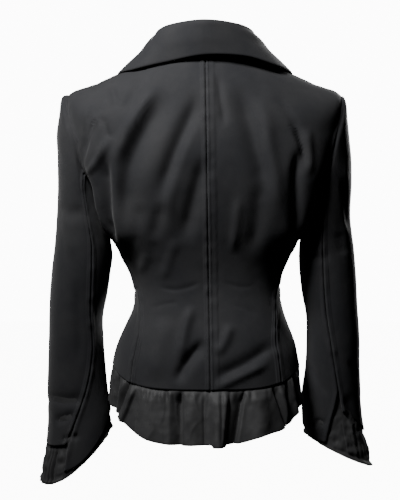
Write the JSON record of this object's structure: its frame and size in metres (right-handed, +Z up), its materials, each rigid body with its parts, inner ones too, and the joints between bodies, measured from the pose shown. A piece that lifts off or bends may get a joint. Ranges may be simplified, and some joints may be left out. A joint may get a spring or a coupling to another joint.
{
  "type": "blazer",
  "caption": "Short fitted black blazer, filled out: wide turned-down collar, lapels, long two-piece sleeves with satin cuffs, curved hem with a satin ruffle, buttoned front.",
  "frame": {"origin": "midway between the points where the two shoulder seams meet the neck, where the wearer's neck and shoulders hold the garment", "axes": "+Z up, +Y towards the wearer's front, +X towards the wearer's right"},
  "size_m": [0.49, 0.2772, 0.6816],
  "materials": {
    "black_cloth": "closely woven black cloth with a faint sheen",
    "black_satin": "charcoal black satin",
    "black_button": "polished black plastic"
  },
  "bodies": {
    "root": {"back_left": "black_cloth", "back_right": "black_cloth", "side_left": "black_cloth", "side_right": "black_cloth", "front_left": "black_cloth", "front_right": "black_cloth", "lapel_left": "black_cloth", "lapel_right": "black_cloth", "collar": "black_cloth", "sleeve_upper_left": "black_cloth", "sleeve_upper_right": "black_cloth", "sleeve_under_left": "black_cloth", "sleeve_under_right": "black_cloth", "cuff_left": "black_satin", "cuff_right": "black_satin", "hem_ruffle": "black_satin", "button_1": "black_button", "button_2": "black_button", "button_3": "black_button"}
  },
  "joints": []
}
